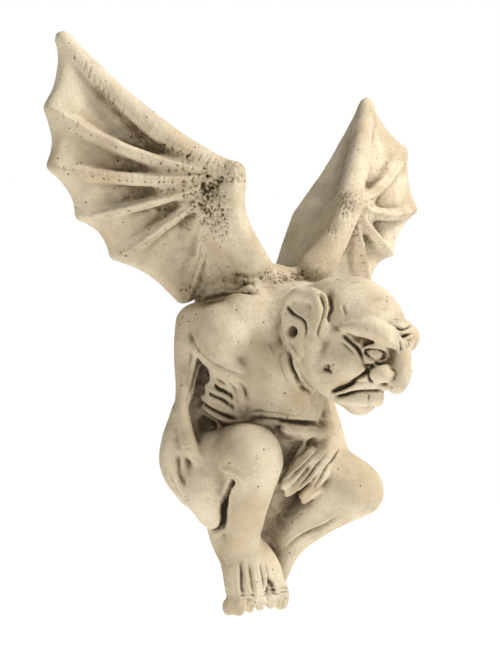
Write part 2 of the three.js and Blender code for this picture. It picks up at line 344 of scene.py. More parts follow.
def hands(bm):
    limb(bm, [
        (-91, 45, -62, 7.5), (-95, 43, -76, 8.5), (-100, 42, -96, 9.5), (-100, 44, -116, 9),
        (-89, 50, -140, 5),
    ], 16)
    limb(bm, [(-90, 46, -74, 8), (-95, 48, -98, 8), (-96, 49, -118, 6.5), (-91, 53, -133, 4)], 14)
    limb(bm, [(-93, 48, -64, 6.5), (-94, 54, -81, 7), (-93, 60, -96, 7), (-88, 64, -107, 4.5)], 14)
    limb(bm, [(34, 84, -84, 9), (6, 92, -84, 8.5), (-22, 97, -80, 4.5)], 14)
    for finger in (
        [(5, 96, -100, 8), (-13, 101, -115, 7), (-27, 102, -127, 5)],
        [(21, 94, -107, 7), (0, 99, -123, 5.5), (-20, 99, -134, 4.5)],
        [(36, 90, -110, 7), (19, 95, -125, 5.5), (2, 94, -137, 4.5)],
        [(48, 86, -110, 7), (34, 88, -127, 5.5), (8, 89, -142, 4)],
    ):
        limb(bm, finger, 14)


def leg_masses(bm):
    limb(bm, [(-28, 30, -110, 34), (-42, 62, -105, 30), (-57, 94, -102, 27.5)], 28)
    limb(bm, [
        (-54, 94, -108, 27), (-54, 92, -127, 21), (-52, 86, -142, 18), (-47, 76, -159, 15.5),
        (-42, 66, -173, 16),
    ], 24)
    limb(bm, [(-64, 56, -106, 26), (-75, 57, -130, 20), (-65, 56, -149, 16)])
    limb(bm, [(-50, 48, -150, 15), (-49, 49, -171, 12.5), (-44, 50, -186, 11)])
    limb(bm, [(28, 34, -104, 32), (43, 64, -114, 28), (59, 94, -130, 25)], 28)
    limb(bm, [(62, 98, -135, 25), (41, 78, -158, 16), (26, 58, -178, 13), (18, 45, -201, 11)], 24)
    limb(bm, [(52, 90, -130, 20), (35, 76, -147, 18), (18, 54, -172, 16)])
    limb(bm, [(20, 45, -199, 12), (15, 42, -212, 12), (13, 40, -222, 11)])
    limb(bm, [(-45, 56, -179, 13), (-43, 58, -197, 12), (-46, 62, -219, 9)])
    limb(bm, [(-38, 62, -175, 16), (-31, 64, -197, 15), (-31, 67, -220, 11)])
    limb(bm, [(-28, 60, -180, 13), (-11, 62, -201, 13), (-4, 66, -220, 10)])


def toes(bm, outer, big, radii):
    """Toes in a row from the outer one to the big one, hanging from the front of the foot."""
    for toe, radius in enumerate(radii):
        share = toe / (len(radii) - 1)
        side, out, up = mix(outer, big, share)
        root = outer[0] + (big[0] - outer[0]) * (0.15 + 0.7 * share)
        limb(bm, [
            (root, out - 5, up + 26, radius * 0.8), (side, out, up + 9, radius),
            (side, out, up, radius * 0.9),
        ], 14)


def feet(bm):
    blob(bm, (-53, 61, -231), (5, 6, 8))
    toes(bm, *RIGHT_TOES)
    toes(bm, *LEFT_TOES)


HEAD_PLACE = (
    Matrix.Translation(point(HEAD_CENTRE))
    @ Matrix.Rotation(math.radians(HEAD_TURN), 4, "Z")
    @ Matrix.Rotation(math.radians(HEAD_BOW), 4, "X")
)


def on_head(place):
    """A head landmark [side, forward, up] in the plaque's own [side, out, up]."""
    spot = HEAD_PLACE @ point(place)
    return (spot.x, -spot.y, spot.z, *place[3:])


def head_blob(bm, centre, radii, turn=(0, 0, 0)):
    start = set(bm.verts)
    blob(bm, centre, radii, turn)
    bmesh.ops.transform(bm, matrix=HEAD_PLACE, verts=[v for v in bm.verts if v not in start])


def head_limb(bm, stations, sides=16):
    limb(bm, [on_head(place) for place in stations], sides)


def skull_masses(bm):
    head_blob(bm, (0, 0, 10), (43, 51, 42))
    head_blob(bm, (0, 14, -14), (41, 37, 33))
    head_limb(bm, [
        (-31, -10, -20, 15), (-26, 8, -33, 16), (0, 24, -41, 15.5), (26, 8, -33, 16), (31, -10, -20, 15),
    ])
    for s in (-1, 1):
        head_blob(bm, (s * 45, -19, 6), (7, 20, 28), (14, 0, 0))
        head_blob(bm, (s * 25, 25, -14), (16, 16, 15))
    head_limb(bm, [(0, 46, 15, 8), (0, 54, 6, 8.5), (0, 58, -4, 9.5), (0, 60, -15, 10.5), (0, 60, -23, 9)])


def features(bm):
    for s in (-1, 1):
        head_limb(bm, [
            (s * 40, 18, 12, 4), (s * 35, 29, 16, 8), (s * 29, 37, 18, 10), (s * 21, 45, 16, 10),
            (s * 14, 51, 13, 8.5), (s * 7, 55, 10, 5),
        ])
        head_blob(bm, (s * 13.5, 47.5, -15.5), (10.5, 12, 9.5))
        head_limb(bm, [
            (s * 45, -17, 29, 7), (s * 46, -7, 26, 8), (s * 46, -2, 16, 8), (s * 44, -1, 6, 8),
            (s * 42, -3, -5, 8),
            (s * 38, -3, -16, 9), (s * 37, -2, -27, 9),
        ])
        head_limb(bm, [
            (s * 46, -14, 27, 7), (s * 46, -28, 25, 7.5), (s * 47, -35, 17, 5), (s * 48, -36, 6, 4),
        ])
        head_limb(bm, [
            (s * 48, -34, 2, 3.5), (s * 48, -30, 4, 3.5), (s * 47, -23, 6, 3.5), (s * 46, -16, 3, 3.5),
            (s * 46, -12, -5, 3.5), (s * 46, -13, -14, 4.5), (s * 42, -10, -20, 6),
        ], 12)
        head_limb(bm, [
            (s * 49, -34, 4, 3.5), (s * 48, -29, -6, 4), (s * 46, -22, -15, 5), (s * 41, -14, -23, 6),
        ], 12)
    head_limb(bm, [(-4, 46, 24, 7), (3, 48, 23, 8), (9, 51, 20, 8), (15, 49.5, 17, 8.5), (22, 46, 17, 9)])
    head_limb(bm, [
        (-30, 23, -43, 3), (-26, 28, -37, 4.5), (-19, 36, -31, 5.5), (-9, 43, -28, 6), (0, 46, -27, 6),
        (9, 43, -28, 6), (19, 36, -31, 5.5), (26, 28, -37, 4.5), (30, 23, -43, 3),
    ])
    head_limb(bm, [
        (-26, 26, -48, 3.5), (-19, 34, -45, 6), (-10, 39, -42, 7.5), (0, 41, -40, 8), (10, 39, -42, 7.5),
        (19, 34, -45, 6), (26, 26, -48, 3.5),
    ])
    head_blob(bm, (0, 30, -48), (16, 13, 11))


def eyes(bm):
    for s in (-1, 1):
        head_blob(bm, (s * 19.5, 40, -1), (8.5, 8.5, 8))
        head_limb(bm, [
            (s * 30, 35, -1, 1.2), (s * 28.5, 40, 3.5, 2.2), (s * 24.5, 44.5, 5.6, 2.7),
            (s * 18.5, 47.5, 5.6, 2.7),
            (s * 13, 48.5, 2.5, 2), (s * 10, 49.5, -1.5, 1.4),
        ], 12)
        head_limb(bm, [
            (s * 30, 35, -2, 1.2), (s * 28, 40, -6.5, 1.9), (s * 23, 44.5, -8.6, 2.1),
            (s * 16.5, 47.5, -7.2, 2),
            (s * 11, 49, -3, 1.4),
        ], 12)



# ---- carving ----
class Work:
    """The piece in hand: its vertices in millimetres, which strokes push in and pull out."""

    def __init__(self, lump):
        self.mesh = lump.data
        count = len(self.mesh.vertices)
        self.co = np.empty(count * 3, np.float32)
        self.mesh.vertices.foreach_get("co", self.co)
        self.co = self.co.reshape(-1, 3).astype(float)
        ends = np.empty(len(self.mesh.edges) * 2, np.int32)
        self.mesh.edges.foreach_get("vertices", ends)
        self.ends = ends.reshape(-1, 2)
        self.degree = np.bincount(ends, minlength=count)[:, None]
        self.look_again()

    def look_again(self):
        """Puts the moved vertices back in the mesh and reads its normals afresh."""
        self.mesh.vertices.foreach_set("co", self.co.astype(np.float32).ravel())
        self.mesh.update()
        normal = np.empty(len(self.co) * 3, np.float32)
        self.mesh.vertex_normals.foreach_get("vector", normal)
        self.normal = normal.reshape(-1, 3).astype(float)
        self.tree = KDTree(len(self.co))
        for i, place in enumerate(self.co):
            self.tree.insert(place, i)
        self.tree.balance()

    def averaged(self, values):
        """Each vertex's mean of its neighbours' values."""
        first, second = self.ends.T
        total = np.empty_like(values)
        for k in range(values.shape[1]):
            column = values[:, k]
            total[:, k] = np.bincount(first, column[second], len(column))
            total[:, k] += np.bincount(second, column[first], len(column))
        return total / self.degree

    def soften(self, times):
        for _ in range(times):
            self.co += 0.5 * (self.averaged(self.co) - self.co)
        self.look_again()

    def near(self, line, reach):
        """The vertices near a line drawn on the surface.

        Which they are, how far, how far along the line, and the line's own way out there.
        """
        spots = []
        facing = []
        for place in line:
            _, index, _ = self.tree.find(Vector(place))
            spots.append(self.co[index])
            facing.append(self.normal[index])
        spots = np.array(spots)
        facing = np.array(facing)
        for run in (spots, facing):
            for _ in range(3):
                run[1:-1] = (run[:-2] + 2 * run[1:-1] + run[2:]) / 4
        facing /= np.linalg.norm(facing, axis=1)[:, None] + 1e-9
        low = spots.min(0) - reach
        high = spots.max(0) + reach
        found = np.flatnonzero(((self.co > low) & (self.co < high)).all(1))
        starts = spots[:-1]
        ways = np.diff(spots, axis=0)
        offset = self.co[found][:, None] - starts[None]
        share = np.clip((offset * ways).sum(2) / ((ways ** 2).sum(1) + 1e-9), 0, 1)
        gaps = np.linalg.norm(offset - share[..., None] * ways, axis=2)
        part = gaps.argmin(1)
        rows = np.arange(len(found))
        gap = gaps[rows, part]
        along = (part + share[rows, part]) / len(ways)
        keep = (gap < reach) & ((self.normal[found] * facing[part]).sum(1) > 0.1)
        return found[keep], gap[keep], along[keep], facing[part][keep]

    def stroke(self, stations, width, height, fade=0.25, lip=0.0):
        """A ridge, or a groove where height is negative, along a smooth line through the stations."""
        stations = np.array(stations, float)[:, :3]
        length = np.linalg.norm(np.diff(stations, axis=0), axis=1).sum()
        count = max(3, int(length / max(1.6, width * 0.6)))
        line = [point(curve_through(stations, k / count)) for k in range(count + 1)]
        found, gap, along, facing = self.near(line, width * (2.2 if lip else 1))
        push = np.clip(1 - (gap / width) ** 2, 0, 1) ** 2
        if lip:
            push -= lip * np.clip(1 - ((gap - 1.5 * width) / (0.7 * width)) ** 2, 0, 1)
        if fade:
            push *= np.sin(np.clip(np.minimum(along, 1 - along) / fade, 0, 1) * math.pi / 2)
        way = facing + self.normal[found]
        way /= np.linalg.norm(way, axis=1)[:, None]
        self.co[found] += way * (height * push)[:, None]

    def around(self, index, radius):
        """The vertices on the same face of the stone within a radius of one, and how far they are."""
        found = self.tree.find_range(self.co[index], radius)
        which = np.array([item[1] for item in found], int)
        gap = np.array([item[2] for item in found])
        facing = self.normal[which] @ self.normal[index] > 0
        return which[facing], gap[facing]

    def dent_at(self, index, radius, depth):
        which, gap = self.around(index, radius)
        push = np.clip(1 - (gap / radius) ** 2, 0, 1) ** 2
        self.co[which] -= self.normal[index] * (depth * push)[:, None]

    def dent(self, place, radius, depth):
        self.dent_at(self.tree.find(point(place))[1], radius, depth)


def melted(lumps, name, grain):
    """The lumps joined and melted into one skin of even grain."""
    bm = bmesh.new()
    for lump in lumps:
        bm.from_mesh(lump.data)
        bpy.data.objects.remove(lump)
    mesh = bpy.data.meshes.new(name)
    bm.to_mesh(mesh)
    bm.free()
    joined = bpy.data.objects.new(name, mesh)
    bpy.context.scene.collection.objects.link(joined)
    remesh = joined.modifiers.new("even_grain", "REMESH")
    remesh.mode = "VOXEL"
    remesh.voxel_size = grain
    return finished(joined, name)


def finished(piece, name):
    """The piece with its modifiers applied."""
    bpy.context.view_layer.update()
    seen = piece.evaluated_get(bpy.context.evaluated_depsgraph_get())
    mesh = bpy.data.meshes.new_from_object(seen)
    piece.modifiers.clear()
    old = piece.data
    piece.data = mesh
    mesh.name = name
    bpy.data.meshes.remove(old)
    return piece


def lumps(co, size, seed):
    """Smooth even noise from -1 to 1 with features of a size in millimetres."""
    rng = np.random.default_rng(seed)
    table = rng.uniform(-1, 1, 4096)
    spots = co / size
    cell = np.floor(spots).astype(np.int64)
    part = spots - cell
    part = part * part * (3 - 2 * part)
    total = np.zeros(len(co))
    for corner in range(8):
        step = np.array([corner & 1, corner >> 1 & 1, corner >> 2 & 1])
        at = cell + step
        value = table[(at[:, 0] * 73856093 ^ at[:, 1] * 19349663 ^ at[:, 2] * 83492791) % 4096]
        total += value * np.prod(np.where(step, part, 1 - part), axis=1)
    return total


# Each carved line is landmarks on the surface, then its width, its height (negative cuts in), how much of
# each end fades out, and how far its lips rise as a share of its depth.
def head_line(work, stations, width, height, fade=0.25, lip=0.0, sides=(-1, 1)):
    """The same stroke on both sides of the head, or on one."""
    for s in sides:
        work.stroke([on_head((s * a, b, c)) for a, b, c in stations], width, height, fade, lip)


def carve_face(work):
    """The eye sockets, the deep folds of the face and the ear holes."""
    line = partial(head_line, work)
    line([(31, 37, -1), (25, 42, -1), (19, 46, 0), (13, 49, 0)], 12, -6.5)
    line([(41, 20, 8), (36, 29, 5), (31, 37, 8), (24, 44, 9), (16, 50, 9), (10, 54, 7)], 4, -3, 0.3)
    line([(41, 24, 20), (36, 34, 26), (28, 42, 29), (19, 49, 26)], 6, -1.2, 0.4)
    # the deep folds: nose wing to jaw, under the cheek, and before the ear
    line([
        (21, 45, -11), (24, 42, -19), (27, 37, -27), (29, 30, -34), (32, 23, -41), (33, 19, -45),
    ], 5, -3, 0.2)
    line([(33, -14, 36), (36, -8, 33), (42, 2, 25), (44, 6, 16), (43, 7, 8)], 6, -3, 0.3)
    line([(49, -10, 33), (49, -4, 28), (51, 5, 20), (50, 8, 12), (50, 7, 4), (47, 6, -6)], 5, -3, 0.2)
    line([(47, -7, -18), (45, -8, -26), (42, -4, -33), (41, 5, -38)], 6, -1.6, 0.3)
    for s in (-1, 1):
        work.dent(on_head((s * 46, -22, -4)), 6.5, 9)


def carve_after_eyes(work):
    """The eyes, the fine folds of the face, the wrinkles, the ears and the neck."""
    line = partial(head_line, work)
    # the rim of the eyeball, its iris and its pupil
    line([(29, 37, -1), (28, 40.5, 1.4), (24.5, 45, 2.9), (18.5, 47.5, 2.8), (13, 48, 0)], 1.4, -1.5, 0.1)
    line([
        (29, 37, -2), (27, 41.5, -4), (22.5, 45.5, -5.8), (16.5, 47.3, -4.8), (12, 48.5, -2),
    ], 1.3, -1.2, 0.1)
    for s in (-1, 1):
        iris = []
        for k in range(11):
            turn = k * math.pi / 5
            wide = 2.1 * math.cos(turn)
            iris.append(on_head((s * (25 - wide), 45 + wide, -1.2 + 2.8 * math.sin(turn))))
        work.stroke(iris, 1, -1, 0)
        work.dent(on_head((s * 25, 45, -1.2)), 1.4, 1.2)
    # the fold over the lid, the crow's foot and the bag under the eye
    line([(41, 18, 5), (38, 25, 4), (34, 31, 1), (31, 36, -4), (29, 39, -9)], 2, -2, 0.3, 0.3)
    line([(40, 19, 0), (36, 27, -3), (33, 33, -8)], 1.6, -0.9, 0.4, 0.3)
    line([(29, 38, -12), (24, 43, -13), (17, 46, -11), (10, 49, -6)], 2, -1.8, 0.3, 0.3)
    # nose wing and cheek fold
    line([(17, 51, -7), (22, 46, -8), (25, 43, -14), (22, 44, -22), (15, 47, -26)], 2, -2.4, 0.2)
    line([
        (22, 45, -11), (24, 42, -19), (27, 37, -27), (29, 30, -34), (32, 23, -41), (33, 19, -45),
    ], 2.2, -2.6, 0.2, 0.2)
    line([(14, 55, -7), (11, 60, -9), (9, 61, -15), (9, 58, -21)], 2.4, -1.2, 0.4)
    # the mouth: a dark slit, turned down at its corners, with a lip line above and below
    line([
        (30, 22, -46), (27, 29, -43), (22, 38, -37), (15, 43, -34), (7, 47, -32), (0, 48, -31),
    ], 2.2, -4.2, 0.1)
    line([(33, 21, -42), (29, 28, -35), (23, 37, -28), (15, 44, -24)], 1.8, -1.1, 0.3)
    line([(27, 28, -50), (20, 35, -50), (12, 41, -49), (5, 43, -48), (0, 43, -48)], 2.2, -1.8, 0.2)
    line([(12, 45, -35), (11, 43, -40), (9, 41, -46)], 1.2, -1.6, 0.2, 0.3, sides=(-1,))
    # cheek hollow, dimple and temple
    line([(41, 14, -19), (41, 14, -24), (40, 14, -29)], 7, -2.4, 0.4)
    line([(39, 11, -26), (38, 16, -26), (37, 20, -27)], 1.8, -2, 0.2)
    line([(40, 14, -21), (39, 16, -26)], 1.6, -1.2, 0.2)
    line([(39, 9, -33), (36, 16, -36)], 4, -1, 0.4)
    line([(42, 12, 14), (42, 13, 6)], 7, -1.4, 0.4)
    # curved wrinkles over the nose, the frown and the furrowed crown
    line([
        (16, 43, 27), (14, 48, 24), (4, 50, 23), (-1, 53, 25), (-8, 52, 29),
    ], 1.6, -1.5, 0.3, 0.6, sides=(-1,))
    line([
        (20, 48, 24), (16, 53, 20), (8, 55, 18), (-1, 56, 20), (-8, 57, 23),
    ], 1.6, -1.6, 0.3, 0.6, sides=(-1,))
    line([(11, 43, 30), (4, 46, 27), (-2, 49, 27), (-8, 48, 31)], 1.6, -1.2, 0.3, 0.6, sides=(-1,))
    line([(14, 56, 16), (11, 58, 11), (6, 58, 6)], 1.8, -1.8, 0.3, 0.4)
    line([(3, 57, 13), (2, 58, 8)], 1.6, -1.2, 0.3, 0.4)
    line([(26, -2, 43), (17, 1, 48), (8, 6, 51), (-5, 11, 51)], 2.2, -0.9, 0.4, 0.4, sides=(-1,))
    line([(30, 3, 41), (24, 9, 45), (16, 13, 49)], 2, -0.7, 0.4, 0.4)
    line([(25, 24, 37), (16, 27, 41), (4, 31, 43)], 1.8, -0.9, 0.4, 0.4, sides=(-1,))
    line([(24, 33, 34), (16, 37, 37), (6, 41, 38)], 1.8, -0.7, 0.4, 0.4)
    line([(38, 9, 31), (40, 14, 26), (40, 18, 22)], 1.8, -1, 0.4, 0.4)
    # two folds of skin before the ear
    line([(49, -10, 34), (48, -4, 28), (50, 4, 21), (50, 7, 13), (50, 6, 5), (48, 5, -4)], 2, -1.6, 0.2, 0.3)
    line([(34, -8, 32), (41, 2, 25), (44, 6, 16), (42, 6, 10)], 2, -1.2, 0.3, 0.4)
    # ear: the cut running down beside the hole, the hole and its lower fold
    line([
        (53, -35, 16), (50, -30, 11), (49, -23, 9), (52, -14, 8), (53, -9, 2), (51, -8, -8),
    ], 2, -2.2, 0.3, 0.2)
    for s in (-1, 1):
        work.dent(on_head((s * 43, -22, -4)), 4.5, 4)
    line([(52, -26, -10), (50, -17, -18), (46, -9, -24)], 1.8, -1.2, 0.3, 0.3)
    # the neck's creases behind the jaw
    line([(45, -26, -23), (37, -18, -36), (28, -12, -48), (9, -10, -56)], 2.4, -1.8, 0.3, 0.3, sides=(-1,))
    line([(39, -20, -37), (31, -15, -47), (15, -11, -57)], 2.2, -1.2, 0.4, 0.3, sides=(-1,))


def carve_body(work):
    """The arm, the slack skin of the ribs, the waist, the chest and the roots of the wings."""
    line = work.stroke
    # armpit and the long muscles of the right arm
    line([
        (-85, 44, 4), (-84, 57, -14), (-78, 65, -24), (-71, 75, -29), (-60, 80, -33), (-50, 82, -38),
    ], 4, -2.2, 0.25, 0.2)
    line([(-84, 57, -11), (-76, 50, -29), (-84, 51, -47), (-95, 53, -60)], 3, -1.4, 0.3, 0.3)
    line([(-84, 46, 0), (-85, 50, -19), (-87, 49, -39), (-92, 50, -54)], 3, -1, 0.3, 0.3)
    # slack skin over the ribs, rolled in folds
    for fold in (
        [(-63, 60, -33), (-70, 66, -41), (-64, 72, -45), (-56, 75, -52)],
        [(-68, 50, -41), (-72, 63, -48), (-66, 70, -52), (-55, 74, -60)],
        [(-71, 46, -49), (-74, 59, -58), (-64, 67, -64), (-50, 73, -69)],
        [(-72, 46, -59), (-72, 58, -66), (-60, 66, -73), (-46, 76, -74)],
    ):
        lower = [(side, out, up - 4.5) for side, out, up in fold]
        line(fold, 3, 1.6, 0.3)
        line(lower, 2.2, -2.4, 0.3)
    line([(-60, 79, -37), (-51, 80, -47), (-48, 79, -57)], 2.4, -1.2, 0.3, 0.4)
    line([(-70, 64, -36), (-61, 73, -47), (-55, 70, -66)], 2, -1.2, 0.3, 0.3)
    line([(-66, 72, -38), (-58, 77, -49), (-52, 75, -64)], 1.6, -0.8, 0.3, 0.3)
    line([(-74, 45, -72), (-69, 52, -78), (-66, 61, -76)], 9, -3, 0.3)
    # the waist's crease over the hands
    line([(-48, 78, -72), (-36, 86, -71), (-20, 96, -73), (2, 99, -75), (20, 95, -75)], 2.4, -2.2, 0.25, 0.25)
    line([(-46, 80, -66), (-34, 88, -66), (-22, 95, -67), (-10, 98, -68)], 2, -1, 0.3, 0.4)
    line([(-26, 91, -80), (-22, 99, -79), (-18, 100, -84)], 2, -1.4, 0.2, 0.2)
    # the chest, the neck under the jaw, and a drop of stone left on it
    line([(-40, 117, -10), (-28, 114, -27), (-17, 112, -43)], 2.6, -1.1, 0.4, 0.4)
    line([(-44, 112, -6), (-36, 108, -26), (-24, 106, -46)], 2.4, -0.9, 0.4, 0.4)
    line([(-39, 97, -11), (-38, 100, -17)], 2.2, 1.2, 0)
    line([(-47, 90, -15), (-42, 93, -32), (-36, 96, -43)], 6, -0.8, 0.4)
    # where the near wing grows out of the back
    line([(-64, 20, 30), (-55, 34, 33), (-53, 55, 36), (-50, 77, 36), (-38, 88, 34)], 3.4, -2.6, 0.2, 0.2)
    line([(-58, 30, 38), (-56, 55, 42), (-50, 75, 44), (-38, 84, 44)], 2.4, -1.2, 0.3, 0.4)
    line([(-50, 60, 50), (-44, 74, 52), (-34, 82, 50)], 2.2, -1, 0.3, 0.4)


def carve_hands(work):
    """The partings of the fingers, and the right hand's knuckles and nail."""
    line = work.stroke
    # left hand: three cuts part its four fingers, and a dark wedge lies inside its wrist
    line([(46, 95, -97), (32, 100, -108), (17, 99, -124), (4, 90, -140)], 2, -2, 0.3, 0.2)
    line([(30, 98, -97), (14, 102, -110), (-3, 104, -124), (-14, 98, -134)], 2, -2, 0.3, 0.2)
    line([(16, 99, -97), (-2, 105, -108), (-18, 106, -118), (-28, 103, -126)], 2, -2, 0.3, 0.2)
    line([(20, 97, -90), (-2, 102, -93), (-18, 102, -97)], 4, -2.6, 0.3)
    # right hand: thumb, finger parting and knuckles
    line([(-101, 53, -100), (-99, 55, -118), (-94, 55, -130)], 4, -2.4, 0.3)
    line([(-106, 48, -112), (-101, 51, -130), (-92, 54, -141)], 1.8, -1.2, 0.3, 0.3)
    for up in (-92, -96):
        line([(-101, 59, up - 1), (-95, 65, up + 1)], 1.3, -0.7, 0.3, 0.3)
    line([(-95, 64, -103), (-92, 68, -105), (-89, 67, -109)], 1.3, -0.9, 0.1)


def carve_legs(work):
    """The fold behind the knee, the shins and the tendons of the foot."""
    line = work.stroke
    # the fold where the calf presses the thigh, with a hooked roll of flesh above it
    line([(-79, 86, -115), (-78, 96, -112), (-73, 103, -117), (-70, 105, -127)], 4.5, 2.2, 0.35)
    line([
        (-74, 97, -121), (-72, 88, -128), (-70, 80, -137), (-69, 75, -146), (-66, 71, -155),
        (-63, 63, -164), (-63, 48, -167),
    ], 3.2, -5.5, 0.15, 0.12)
    line([(-76, 95, -121), (-73, 89, -126)], 4, -3, 0.3)
    # shins, ankle and the tendons fanning to the toes
    line([(-50, 110, -132), (-46, 100, -150), (-38, 82, -168)], 6, 1, 0.4)
    line([(-28, 88, -132), (-24, 74, -152), (-22, 66, -170)], 6, -1.6, 0.3)
    line([(42, 104, -153), (33, 89, -164), (18, 73, -175), (10, 57, -187)], 2.6, -1.3, 0.3, 0.3)
    for toe in range(4):
        share = toe / 3
        top = mix((-47, 70, -190), (-27, 79, -190), share)
        end = mix((-46, 72, -226), (-12, 74, -224), share)
        line([top, mix(top, end, 0.5), end], 2.4, -1.7, 0.4, 0.4)
    line([(-58, 48, -180), (-57, 54, -190), (-52, 60, -198)], 3, -1, 0.4, 0.4)


def carve_toes(work, outer, big, radii):
    """A knuckle fold and a nail on each toe."""
    for toe, radius in enumerate(radii):
        side, out, up = mix(outer, big, toe / (len(radii) - 1))
        front = out + radius
        for fold in (10, 13):
            ends = [(side + s * radius, front - 3, up + fold) for s in (-1, 1)]
            work.stroke(ends, 1.3, -1, 0.3, 0.3)
        half = radius * 0.5
        work.stroke([
            (side - half, front, up - 3), (side - half, front, up + 2), (side, front + 1, up + 4),
            (side + half, front, up + 2), (side + half, front, up - 3),
        ], 1.1, -1, 0.1)


def carve_wing(work, wing):
    """Crests along the fingers, hollowed webs, the ticks across the crests, and creases over the webs."""
    rng = random.Random(SEED)
    webs = len(wing["tips"])
    for finger in range(1, webs):
        for beside in (-0.2, 0.2):
            stations = [web_place(wing, finger + beside, reach) for reach in (0.12, 0.3, 0.5, 0.7, 0.92)]
            work.stroke(stations, 6, -1.1, 0.35)
        ridge = [web_place(wing, finger, reach) for reach in (0.06, 0.2, 0.4, 0.6, 0.8, 0.99)]
        work.stroke(ridge, 3.2, 2, 0.2)
    stations = [web_place(wing, 0.22, reach) for reach in (0.1, 0.25, 0.4, 0.6, 0.8, 0.95)]
    work.stroke(stations, 6, -1.8, 0.3)
    for finger in range(webs):
        length = (Vector(wing["tips"][finger]) - Vector(wing["wrist"])).length
        reach = 0.12
        while reach < 0.93:
            middle = web_place(wing, finger if finger else 0.1, reach)
            across = Vector(web_place(wing, min(finger + 0.2, webs - 1e-3), reach)) - Vector(middle)
            across = across.normalized() * rng.uniform(2.2, 4.2)
            lean = rng.uniform(-0.8, 0.8)
            start = [m - a + lean for m, a in zip(middle, across)]
            end = [m + a for m, a in zip(middle, across)]
            work.stroke([start, end], rng.uniform(0.9, 1.3), -rng.uniform(1.1, 1.9), 0.3, 0.2)
            reach += TICK_SPACING[finger] * rng.uniform(0.6, 1.4) / length


def wing_spots(wing):
    """Places where a wing is rough, each with how far the roughness spreads."""
    spots = [(*wing["wrist"], 17)]
    for finger in range(len(wing["tips"]) - 1):
        for share in (0.12, 0.22, 0.34, 0.48):
            spots.append((*web_place(wing, finger + 0.35, share), 12 - 12 * share))
    return spots + arm_spots(wing)


def arm_spots(wing):
    """Places on the web beside a wing's arm bone, where the ring-shaped pocks crowd."""
    spots = []
    for share in (0.25, 0.5, 0.75, 1):
        side, out, up = mix(wing["wrist"], wing["elbow"], share)
        spots.append((side + beside_arm(wing) * 16, out - 10, up - 4, 15))
    return spots


def beside_arm(wing):
    """The way from a wing's arm bone to its webs: -1 or 1."""
    return -1 if wing is RIGHT_WING else 1


def roughness(co, spots):
    """How rough the stone is at each place, from 0 to 1, round [side, out, up, spread] spots."""
    rough = np.zeros(len(co))
    for side, out, up, size in spots:
        gap = np.linalg.norm(co - np.array([side, -out, up]), axis=1)
        rough = np.maximum(rough, np.exp(-((gap / size) ** 2)))
    return rough


def worn_places(co):
    """Where the stone is pocked and dark: the wrists, the webs beside them and the roots of the wings."""
    spots = [
        (-62, 26, 36, 9), (-56, 50, 42, 10), (-50, 72, 46, 10), (-30, 80, 50, 10), (-6, 80, 52, 9),
        (12, 76, 54, 9),
    ]
    for wing in (RIGHT_WING, LEFT_WING):
        spots += wing_spots(wing)
    return roughness(co, spots)


def pit(work):
    """Air holes all over, and pocks and ring-shaped scars crowding where the stone is worn."""
    rng = np.random.default_rng(SEED)
    worn = worn_places(work.co) * np.clip(0.75 + lumps(work.co, 14, SEED), 0.1, 1.6)
    front = work.co[:, 1] < -1
    weight = worn ** 1.5 * front
    for index in rng.choice(len(work.co), CROWDED_PITS, p=weight / weight.sum()):
        size = rng.uniform(0.9, 2.1)
        work.dent_at(index, size, size * rng.uniform(0.3, 0.6))
    inner = roughness(work.co, arm_spots(RIGHT_WING) + arm_spots(LEFT_WING)) * front
    for index in rng.choice(len(work.co), RINGS, p=inner / inner.sum()):
        ring(work, index, rng.uniform(1.6, 2.8))
    above = np.clip((work.co[:, 2] - 20) / 60, 0.12, 1) * front
    for index in rng.choice(len(work.co), AIR_HOLES, p=above / above.sum()):
        size = rng.uniform(0.7, 1.6)
        work.dent_at(index, size, size * rng.uniform(0.25, 0.5))


def ring(work, index, radius):
    """A pock with a raised button left in its middle."""
    which, gap = work.around(index, radius * 1.6)
    trench = np.exp(-(((gap - radius) / (0.35 * radius)) ** 2))
    work.co[which] -= work.normal[which] * (0.9 * trench)[:, None]


# ---- what the patina and the painted shade follow ----
def hollows(work):
    """How deep each vertex lies below its surroundings, at three reaches, in millimetres."""
    depths = {}
    smooth = work.co.copy()
    done = 0
    for name, times in HOLLOW_PASSES.items():
        for _ in range(times - done):
            smooth += 0.6 * (work.averaged(smooth) - smooth)
        done = times
        depth = ((smooth - work.co) * work.normal).sum(1)[:, None]
        for _ in range(2):
            depth = 0.5 * depth + 0.5 * work.averaged(depth)
        depths[name] = depth[:, 0]
    return depths


def shelter(mesh, rays=18, reach=60.0):
    """The share of the sky near each vertex that the stone itself shuts out, which paints shade into the
    stone's colour.
    """
    tree = BVHTree.FromPolygons([v.co for v in mesh.vertices], [p.vertices for p in mesh.polygons])
    rng = random.Random(SEED)
    sky = []
    for k in range(rays):
        lift = 1 - (k + 0.5) / rays * 0.92
        turn = k * math.pi * (3 - math.sqrt(5)) + rng.random() * 0.1
        flat = math.sqrt(1 - lift * lift)
        sky.append(Vector((flat * math.cos(turn), flat * math.sin(turn), lift)))
    up = Vector((0, 0, 1))
    closed = np.zeros(len(mesh.vertices))
    for i, vert in enumerate(mesh.vertices):
        turn = up.rotation_difference(vert.normal)
        start = vert.co + vert.normal * 0.4
        for way in sky:
            aim = way.copy()
            aim.rotate(turn)
            if tree.ray_cast(start, aim, reach)[0] is not None:
                closed[i] += way.z
    return closed / sum(way.z for way in sky)


def store(mesh, name, values):
    layer = mesh.attributes.new(name, "FLOAT", "POINT")
    layer.data.foreach_set("value", values.astype(np.float32))


# ---- materials ----
def hex_colour(code):
    """sRGB hex to the linear colour that the shaders work in."""
    values = [int(code[i:i + 2], 16) / 255 for i in (1, 3, 5)]
    return [v / 12.92 if v <= 0.04045 else ((v + 0.055) / 1.055) ** 2.4 for v in values] + [1]


